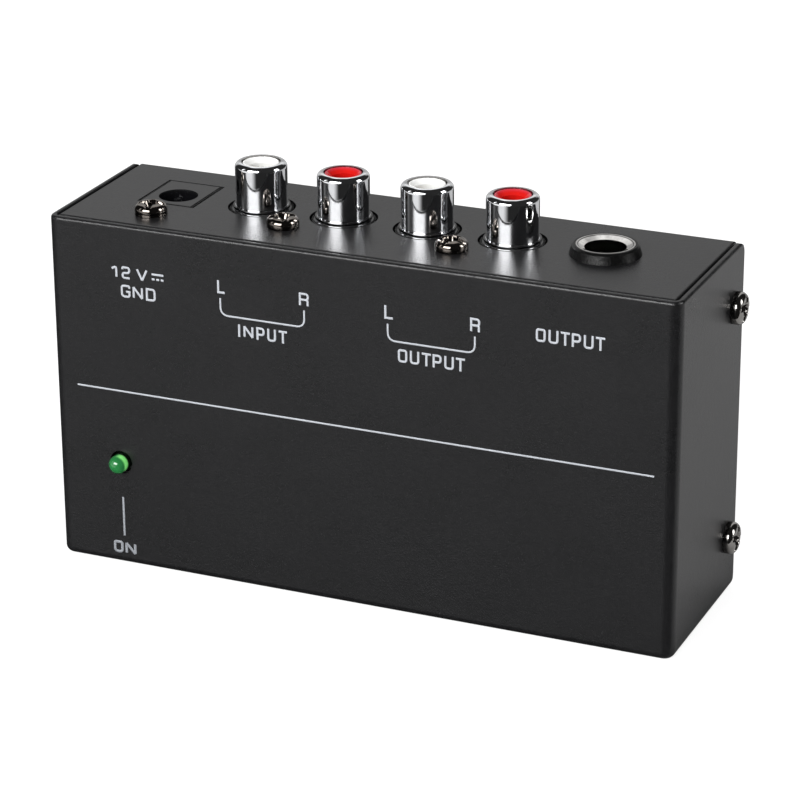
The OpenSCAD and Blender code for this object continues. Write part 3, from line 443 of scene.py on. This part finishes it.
def screw(name, head, length):
    """A pan-head screw as one closed mesh: its seat at the origin, its head up, and a thread."""
    count, head_r, shoulder, bevel, crown_drop = 96, 2.6, 1.05, 0.06, 0.05
    thread_r, thread_depth, pitch, slice_step, tip_r = 1.3, 0.17, 0.5, 0.1, 0.75
    crown_r, crown_rings = head_r - shoulder, 25
    pit_r, pit_depth, arm_r, arm_half, arm_depth = 1.25, 1.0, 2.15, 0.56, 1.15

    def ramp(value, width):
        return min(1, max(0, value / width))

    def recess(x, y):
        """The depth of the cross: a round pit, and four arms that rise towards their ends."""
        deep = pit_depth * ramp(pit_r - math.hypot(x, y), 0.4)
        for along, across in ((abs(x), abs(y)), (abs(y), abs(x))):
            reach, side = ramp(arm_r - along, 0.9), ramp(arm_half - across, 0.26)
            deep = max(deep, arm_depth * reach * side * side * (3 - 2 * side))
        return deep

    rings = [(tip_r, -length, None)]
    slices = int((length - 0.35) / slice_step)
    rings += [(thread_r, -length + 0.25 + slice_step * i, "thread") for i in range(slices + 1)]
    rings += [(thread_r, 0, None), (head_r - bevel, 0, None), (head_r, bevel, None)]
    rings += [(head_r - shoulder * (1 - math.cos(a)),
               head - crown_drop - shoulder * (1 - math.sin(a)), "top")
              for a in (math.radians(9 * k) for k in range(11))]
    rings += [(r, head - crown_drop * (r / crown_r) ** 2, "top")
              for r in (crown_r * (1 - k / crown_rings) for k in range(1, crown_rings))]
    verts, faces = [], []
    for r, z, kind in rings:
        for i in range(count):
            turn = math.tau * i / count
            radius, rise = r, z
            if kind == "thread":
                radius -= thread_depth * abs(2 * ((z / pitch - i / count) % 1) - 1)
            x, y = radius * math.cos(turn), radius * math.sin(turn)
            if kind == "top":
                rise -= recess(x, y)
            verts.append((x * MM, y * MM, rise * MM))
    for ring in range(len(rings) - 1):
        for i in range(count):
            a, b = ring * count + i, ring * count + (i + 1) % count
            faces.append((a, b, b + count, a + count))
    faces.append(tuple(reversed(range(count))))
    faces.append(tuple(range(len(verts) - count, len(verts))))
    mesh = bpy.data.meshes.new(name)
    mesh.from_pydata(verts, [], faces)
    mesh.shade_smooth()
    mesh.set_sharp_from_angle(angle=math.radians(50))
    return bpy.data.objects.new(name, mesh)


def screws(name, body, node, pattern, places, finish=dark_nickel):
    """Screws of one pattern, each at a place, with the turn that its matrix gives."""
    seats = bpy.data.meshes.new(name + "_seats")
    seats.from_pydata([Vector(place) * MM for place, turn in places], [], [])
    turns = seats.attributes.new("turn", "FLOAT_VECTOR", "POINT")
    for i, (place, turn) in enumerate(places):
        turns.data[i].vector = turn.to_euler("XYZ")

    def fitted(nodes, geometry):
        one = nodes.add("GeometryNodeObjectInfo", {}, {"Object": pattern}, 4)
        turn = nodes.add("GeometryNodeInputNamedAttribute", {"data_type": "FLOAT_VECTOR"},
                         {"Name": "turn"})
        turn = nodes.add("FunctionNodeEulerToRotation", {}, {0: turn})
        copies = nodes.add("GeometryNodeInstanceOnPoints", {}, {
            "Points": geometry, "Instance": one, "Rotation": turn})
        solid = nodes.add("GeometryNodeRealizeInstances", {}, {0: copies})
        return nodes.add("GeometryNodeSetMaterial", {}, {
            "Geometry": solid, "Material": finish.material})

    piece = grow(name, seats, fitted)
    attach(piece, body)
    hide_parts(node)


def axis(degrees, direction):
    return Matrix.Rotation(math.radians(degrees), 3, direction)


wall_seat, board_seat, panel_seat, washer_seat = 52.5, 8.05, 58.15, 58.65
long_screw = screw("long_screw", head=1.75, length=5.0)
short_screw = screw("short_screw", head=1.75, length=4.5)
terminal_pattern = screw("terminal_pattern", head=1.35, length=5.0)
screws("case_screws", "case", "side_screws", long_screw, [
    ((side * wall_seat, 11.35, z), axis(side * 90, "Y") @ axis(z * 7, "Z"))
    for side in (-1, 1) for z in (9.9, 48.5)], bright_nickel)
screws("board_fixings", "case", "board_screws", long_screw, [
    ((side * 36, board_seat, 14), axis(90, "X") @ axis(20 + side * 12, "Z")) for side in (-1, 1)])
screws("jack_fixings", "case", "jack_block_screws", short_screw, [
    ((-16.0, -5.55, panel_seat), axis(35, "Z")), ((12.4, -5.55, panel_seat), axis(75, "Z"))])
screws("terminal_fixing", "terminal_screw", "ground_screw", terminal_pattern, [
    ((-37.77, -7.9, washer_seat), axis(15, "Z"))])
dress(dark_nickel, "ground_washer")
zinc_plate = Finish("zinc_plate", Metallic=1.0)
bloom = zinc_plate.noise(1.6, 3)
zinc_plate.feed(Base_Color=zinc_plate.mix(bloom, rgb(176, 178, 182), rgb(214, 212, 204)),
                Roughness=0.28 + bloom * 0.16)
zinc_plate.bump(zinc_plate.noise(0.2, 2), 0.004)
dress(zinc_plate, "board_standoffs", "ground_nut")


# ---- Feet ----
# Four pads punched from black rubber are glued to the back plate, so that the case can also
# lie flat.

def grained(name, size, dark, light, smooth, rougher, depth, detail=3, stretch=(1, 1, 1),
            **constants):
    """A finish whose colour, roughness and relief all follow one noise of size millimetres."""
    finish = Finish(name, **constants)
    grain = finish.noise(size, detail, stretch)
    finish.feed(Base_Color=finish.mix(grain, dark, light), Roughness=smooth + grain * rougher)
    finish.bump(grain, depth)
    return finish


dress(grained("foot_rubber", 0.35, rgb(22, 22, 23), rgb(38, 38, 39), 0.68, 0.2, 0.03,
              Specular_IOR_Level=0.3), "rubber_feet")


# ---- Circuit board ----
# One glass-epoxy board carries everything: green resist over copper tracks on both sides,
# bare tan glass at its edges, and every lead soldered at the back.

board_laminate = Finish("board_laminate")
across, _, upward = board_laminate.parts(board_laminate.spot)
weave = board_laminate.noise(0.25, 2)


def track(value, other, seed):
    """Straight copper tracks every 1.27 mm, each broken up along its length."""
    pitch = value / (1.27 * MM) + seed
    lane = pitch.math("FLOOR")
    line = board_laminate.window(pitch - lane, 0.3, 0.7, 0.03)
    here = board_laminate.add("ShaderNodeCombineXYZ", {}, {
        0: lane * 3.7 + seed, 1: other / (9 * MM)})
    used = board_laminate.add("ShaderNodeTexNoise", {}, {
        "Vector": here, "Scale": 1.0, "Detail": 0.0})
    return line * board_laminate.step(used, 0.52, 0.53)


tracks = track(across, upward, 0.5).math("MAXIMUM", track(upward, across, 7.25))
resist = board_laminate.mix(tracks, rgb(16, 62, 34), rgb(34, 98, 52))
edge = 1 - board_laminate.step(board_laminate.facing[1].math("ABSOLUTE"), 0.4, 0.6)
board_laminate.feed(Base_Color=board_laminate.mix(edge, resist, rgb(168, 158, 98)),
                    Roughness=0.28 + weave * 0.2)
board_laminate.bump(tracks + weave * 0.2, 0.03)
dress(board_laminate, "circuit_board")

dress(grained("solder", 0.4, rgb(190, 190, 188), rgb(226, 226, 224), 0.18, 0.2, 0.02,
              Metallic=1.0),
      "solder_joints", "lamp_leads", "chip_pins", "component_leads")
dress(grained("chip_epoxy", 0.12, rgb(24, 24, 25), rgb(40, 40, 42), 0.5, 0.2, 0.01,
              Specular_IOR_Level=0.4),
      "input_amplifier_chip", "output_amplifier_chip", "supply_diode", "voltage_regulator")
dress(grained("can_aluminium", 0.3, rgb(200, 202, 206), rgb(226, 227, 229), 0.25, 0.15, 0.003,
              detail=2, stretch=(1, 0.05, 1), Metallic=1.0), "capacitor_cans")
dress(grained("film_capacitor_red", 1.4, rgb(150, 30, 22), rgb(182, 44, 30), 0.25, 0.15, 0.04,
              detail=2), "film_capacitors")

sleeve_film = Finish("sleeve_film")
stripe = sleeve_film.step(sleeve_film.facing[0] * -1, 0.88, 0.9)
shrink = sleeve_film.noise(2.0, 2)
sleeve_film.feed(Base_Color=sleeve_film.mix(stripe, rgb(18, 22, 40), rgb(186, 188, 192)),
                 Roughness=0.25 + shrink * 0.12)
sleeve_film.bump(shrink, 0.03)
dress(sleeve_film, "capacitor_sleeves")

resistor_blue = Finish("resistor_blue")
low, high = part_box("resistors")
beside = resistor_blue.parts(resistor_blue.spot)[2] - (low[2] + high[2]) / 2
paint = resistor_blue.noise(0.5, 2)
colour = resistor_blue.mix(paint, rgb(110, 158, 180), rgb(130, 176, 196))
brown, black, red = rgb(96, 54, 28), rgb(20, 20, 20), rgb(150, 40, 28)
for place, ring in ((-1.9, brown), (-1.0, black), (-0.3, black), (0.4, red), (1.6, brown)):
    band = resistor_blue.window(beside, (place - 0.17) * MM, (place + 0.17) * MM, 0.02 * MM)
    colour = resistor_blue.mix(band, colour, ring)
resistor_blue.feed(Base_Color=colour, Roughness=0.3 + paint * 0.2)
resistor_blue.bump(paint, 0.02)
dress(resistor_blue, "resistors")


# ---- Phono jacks ----
# Each twin jack is a black moulded block with two drawn brass barrels, chrome plated, that
# stand through the panel. White or red plastic inserts hold the sprung centre contacts.

jack_pitch, jack_row, row_start, row_end = 14.2, 1.8, -30.2, 27


def from_axis(finish):
    """Millimetres from the axis of the nearest phono jack, and far right of the last one."""
    aside, outward, _ = finish.parts(finish.spot)
    place = (aside.math("MINIMUM", row_end * MM) / MM - row_start) / jack_pitch
    aside = (place - place.math("FLOOR") - 0.5) * jack_pitch
    outward = outward / MM - jack_row
    return (aside * aside + outward * outward).math("SQRT")


black_plastic = grained("black_plastic", 0.16, rgb(9, 9, 10), rgb(17, 17, 18), 0.2, 0.1, 0.012,
                        Specular_IOR_Level=0.4)

# The outer edge of each moulded collar is dull and falls away towards the panel's hole, and its
# colour there is painted darker as shade in the gap to the panel.
gloss_plastic = Finish("gloss_plastic", Specular_IOR_Level=0.5)
ripple = gloss_plastic.noise(0.5, 2)
falloff_and_shade = gloss_plastic.step(from_axis(gloss_plastic), 4.6, 4.8)
moulded = gloss_plastic.mix(ripple, rgb(10, 10, 11), rgb(18, 18, 19))
gloss_plastic.feed(Base_Color=gloss_plastic.mix(falloff_and_shade, moulded, rgb(2, 2, 2)),
                   Roughness=0.1 + ripple * 0.06 + falloff_and_shade * 0.8)
gloss_plastic.bump(ripple * 0.05 - falloff_and_shade, 0.12)
dress(gloss_plastic, "input_jack_block", "output_jack_block")

# A barrel's rim rolls in towards the insert, its bore is painted darker as shade round the insert,
# and the step at its foot is filled by the black collar.
chrome = Finish("chrome", Metallic=1.0)
polish = chrome.noise(1.2, 3)
hairline = chrome.noise(0.35, 2, (1, 1, 0.12))
upward = chrome.parts(chrome.spot)[2]
apart = from_axis(chrome)
bore_r, foot_r, foot_top = 3.16, 4.17, 58.68
rolled = chrome.step(apart, 2.7, 3.9)
bore_shade = (1 - chrome.step(apart, bore_r - 0.05, bore_r)) * chrome.step(upward, 60 * MM, 61 * MM)
foot = (chrome.step(apart, foot_r, foot_r + 0.03)
        * (1 - chrome.step(upward, (foot_top - 0.02) * MM, foot_top * MM))
        * chrome.step(chrome.facing[2], 0.4, 0.6))
plating = chrome.mix(polish, rgb(218, 219, 222), rgb(236, 237, 239))
plating = chrome.mix(bore_shade, plating, rgb(165, 163, 161))
chrome.feed(Base_Color=chrome.mix(foot, plating, rgb(12, 12, 13)), Metallic=1 - foot,
            Roughness=0.03 + polish * 0.03 + hairline * 0.03 + foot * 0.08)
chrome.bump(hairline * 0.004 - rolled, 0.3)
contact_brass = grained("contact_brass", 0.6, rgb(196, 164, 96), rgb(222, 192, 124),
                        0.2, 0.18, 0.004, Metallic=1.0)

inserts = {}
# Each insert's outer flat face is painted lighter than its dish as a painted sheen, pinkish on the
# red insert.
for colour, dark, light, sheen_face in (
    ("white", rgb(213, 213, 211), rgb(226, 226, 224), rgb(237, 237, 236)),
    ("red", rgb(178, 14, 12), rgb(200, 26, 20), rgb(186, 56, 72)),
):
    plastic = inserts[colour] = Finish(colour + "_plastic")
    flow = plastic.noise(1.5, 2)
    dish = plastic.mix(flow, dark, light)
    plastic.feed(Base_Color=plastic.mix(plastic.step(from_axis(plastic), 2.2, 2.9), dish, sheen_face),
                 Roughness=0.14 + flow * 0.08)
    plastic.bump(plastic.noise(0.3, 2), 0.004)
for side in ("input", "output"):
    for channel, colour in (("left", "white"), ("right", "red")):
        jack = side + "_" + channel
        dress(chrome, jack + "_barrel")
        dress(inserts[colour], jack + "_insert")
        dress(contact_brass, jack + "_contact")


# ---- Phone jack ----
# A moulded jack with a threaded collar: the black nut clamps it to the panel round a bright turned
# ferrule, with a dark ring painted near its rim as the shade of a fine groove, and two springs
# inside meet the plug.

dress(grained("nut_plastic", 0.25, rgb(3, 3, 3), rgb(14, 14, 14), 0.24, 0.16, 0.06,
              stretch=(1, 1, 0.3), Specular_IOR_Level=0.15), "phone_jack_nut")
dress(black_plastic, "phone_jack_body")
turned_nickel = Finish("turned_nickel", Metallic=1.0)
lathe = turned_nickel.noise(1.2, 3, (1, 1, 0.3))
low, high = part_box("phone_jack_ferrule")
aside, outward, _ = turned_nickel.parts(turned_nickel.spot)
aside, outward = aside - (low[0] + high[0]) / 2, outward - (low[1] + high[1]) / 2
from_rim = (high[0] - low[0]) / 2 - (aside * aside + outward * outward).math("SQRT")
# The dark ring near the rim is painted shade, standing for a fine groove.
groove_shade = turned_nickel.window(from_rim, 0.22 * MM, 0.4 * MM, 0.05 * MM)
plating = turned_nickel.mix(lathe, rgb(150, 148, 146), rgb(250, 248, 245))
turned_nickel.feed(Base_Color=turned_nickel.mix(groove_shade * 0.85, plating, rgb(52, 50, 49)),
                   Roughness=0.05 + lathe * 0.08)
turned_nickel.bump(lathe, 0.004)
dress(turned_nickel, "phone_jack_ferrule")
dress(contact_brass, "phone_jack_terminals", "phone_tip_spring", "phone_ring_spring")


# ---- Power inlet ----
# A square black moulding flush with the panel, with painted shade along its bevelled edges, on its
# sides and in its bore, and a bright plated pin for the 12 V plug and one side spring.

inlet_plastic = Finish("inlet_plastic", Specular_IOR_Level=0.4)
low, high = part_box("power_inlet_body")
sideways, inward, upward = inlet_plastic.parts(inlet_plastic.spot)
from_edge = [(value - (low[i] + high[i]) / 2).math("ABSOLUTE") - (high[i] - low[i]) / 2
             for i, value in enumerate((sideways, inward))]
# The edge mask paints a dark outline round the moulding as shade in its gap to the panel, widened
# at the left and right sides and most on the right, and also dulls and bevels it.
edge = inlet_plastic.step(from_edge[0].math("MAXIMUM", from_edge[1]), -0.3 * MM, 0.02 * MM)
for clear, outer in ((low[0] + 0.42 * MM, low[0] + 0.2 * MM),
                     (high[0] - 0.55 * MM, high[0] - 0.3 * MM)):
    edge = edge.math("MAXIMUM", inlet_plastic.step(sideways, clear, outer))
top_face = inlet_plastic.step(upward, high[2] - 0.8 * MM, high[2] - 0.1 * MM)
# Everything below the top face is painted darker as shade.
shaded_below_top = edge.math("MAXIMUM", 1 - top_face)
satin = inlet_plastic.noise(0.2, 2)
shaded = inlet_plastic.mix(edge, rgb(13, 13, 15), rgb(4, 4, 4))
inlet_plastic.feed(Base_Color=inlet_plastic.mix(shaded_below_top, rgb(17, 17, 18), shaded),
                   Roughness=0.26 + satin * 0.1 + edge * 0.6 - (shaded_below_top - edge) * 0.2)
inlet_plastic.bump(satin * 0.02 - edge, 0.3)
dress(inlet_plastic, "power_inlet_body")
dress(chrome, "power_inlet_pin")
dress(contact_brass, "power_inlet_terminal", "power_inlet_spring")


# ---- Power lamp ----
# A three-millimetre diode lamp in diffusing green resin, held off the board by a spacer. Its upper
# right edge is a painted highlight of light gathered in the resin, its part in the hole is painted
# dark as shade, and the resin glows faintly by emission.

lamp_green = Finish("lamp_green", Coat_Weight=0.5, Coat_Roughness=0.05, Emission_Strength=0.15)
haze = lamp_green.noise(0.8, 2)
aside, inward, above = lamp_green.facing
glow_rim = ((1 - lamp_green.step(inward * -1, 0.12, 0.46))
       * lamp_green.step(aside + above * 0.55, 0.2, 1.0))
hole_shade = lamp_green.step(lamp_green.parts(lamp_green.spot)[1], -15.75 * MM, -15.4 * MM)
painted_resin = lamp_green.mix(glow_rim, rgb(28, 98, 48), rgb(142, 246, 134))
painted_resin = lamp_green.mix(hole_shade, painted_resin, rgb(2, 14, 4))
lamp_green.feed(Base_Color=lamp_green.mix(haze * 0.2 * (1 - hole_shade), painted_resin, rgb(60, 140, 78)),
                Emission_Color=painted_resin, Roughness=0.08 + haze * 0.06 + hole_shade * 0.5)
lamp_green.bump(haze, 0.01)
dress(lamp_green, "power_lamp")
dress(black_plastic, "lamp_spacer")
